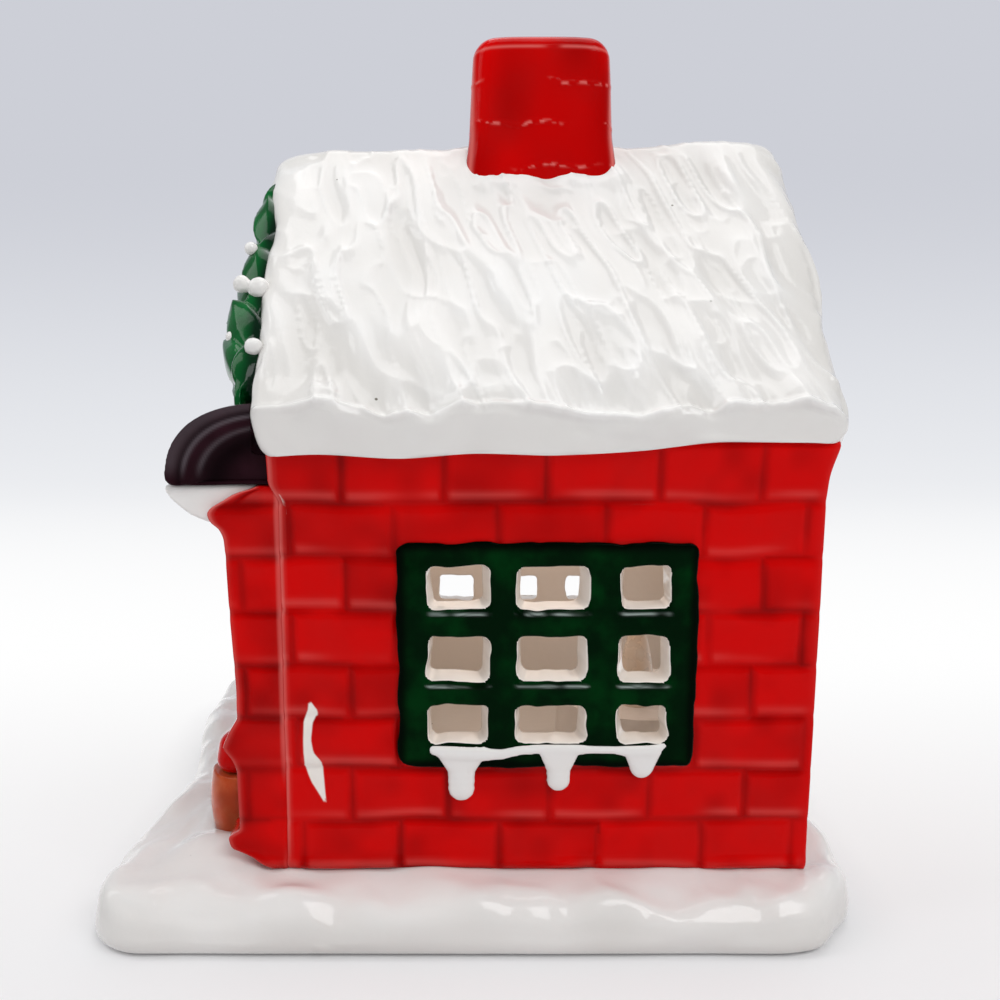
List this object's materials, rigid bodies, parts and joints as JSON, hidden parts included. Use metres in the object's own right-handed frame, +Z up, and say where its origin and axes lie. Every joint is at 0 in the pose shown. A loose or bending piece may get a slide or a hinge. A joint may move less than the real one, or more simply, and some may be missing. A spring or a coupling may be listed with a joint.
{
  "type": "ceramic christmas village house",
  "caption": "Glazed ceramic village house on a snow base, with brick walls, pierced lattice windows, a snowy gable roof, an awning and a tea light that slides out of its back arch.",
  "frame": {"origin": "under the middle of the snow base, on the surface that the house stands on", "axes": "+Z up, -Y the front with the door, +Y the back arch, +X the right side wall"},
  "size_m": [0.126, 0.142, 0.169],
  "materials": {
    "snow_glaze": "thick white gloss glaze",
    "brick_glaze": "red gloss glaze over brick relief",
    "window_glaze": "dark green gloss glaze",
    "leaf_glaze": "translucent green gloss glaze",
    "awning_glaze": "very dark brown gloss glaze",
    "wood_glaze": "orange brown gloss glaze",
    "white_plastic": "satin",
    "lens_plastic": "milky translucent",
    "lamp_plastic": "clear amber",
    "cell_steel": "plated",
    "contact_brass": "stamped",
    "switch_plastic": "satin"
  },
  "bodies": {
    "house": {"snow_base": "snow_glaze", "roof": "snow_glaze", "right_sill_snow": "snow_glaze", "left_sill_snow": "snow_glaze", "awning_soffit": "snow_glaze", "garland_berries": "snow_glaze", "door_step": "snow_glaze", "door_frame": "snow_glaze", "right_wall": "brick_glaze", "left_wall": "brick_glaze", "front_wall": "brick_glaze", "back_wall": "brick_glaze", "chimney": "brick_glaze", "right_pilaster": "brick_glaze", "left_pilaster": "brick_glaze", "tub_plant": "brick_glaze", "right_window": "window_glaze", "left_window": "window_glaze", "right_front_window": "window_glaze", "left_front_window": "window_glaze", "right_garland": "leaf_glaze", "left_garland": "leaf_glaze", "awning": "awning_glaze", "door_knob": "awning_glaze", "front_door": "wood_glaze", "plant_tub": "wood_glaze"},
    "tea_light": {"tea_light_shell": "white_plastic", "tea_light_base_plate": "white_plastic", "battery_door": "white_plastic", "flame_lens": "lens_plastic", "led": "lamp_plastic", "coin_cell": "cell_steel", "battery_door_screw": "cell_steel", "positive_clip": "contact_brass", "negative_spring": "contact_brass"},
    "switch": {"switch_knob": "switch_plastic"}
  },
  "joints": [
    {"name": "tea_light_slide", "type": "slide", "parent": "house", "child": "tea_light", "axis": [0, 1, 0], "range_m": [0, 0.055]},
    {"name": "switch_slide", "type": "slide", "parent": "tea_light", "child": "switch", "axis": [0, 1, 0], "range_m": [0, 0.0026]}
  ]
}
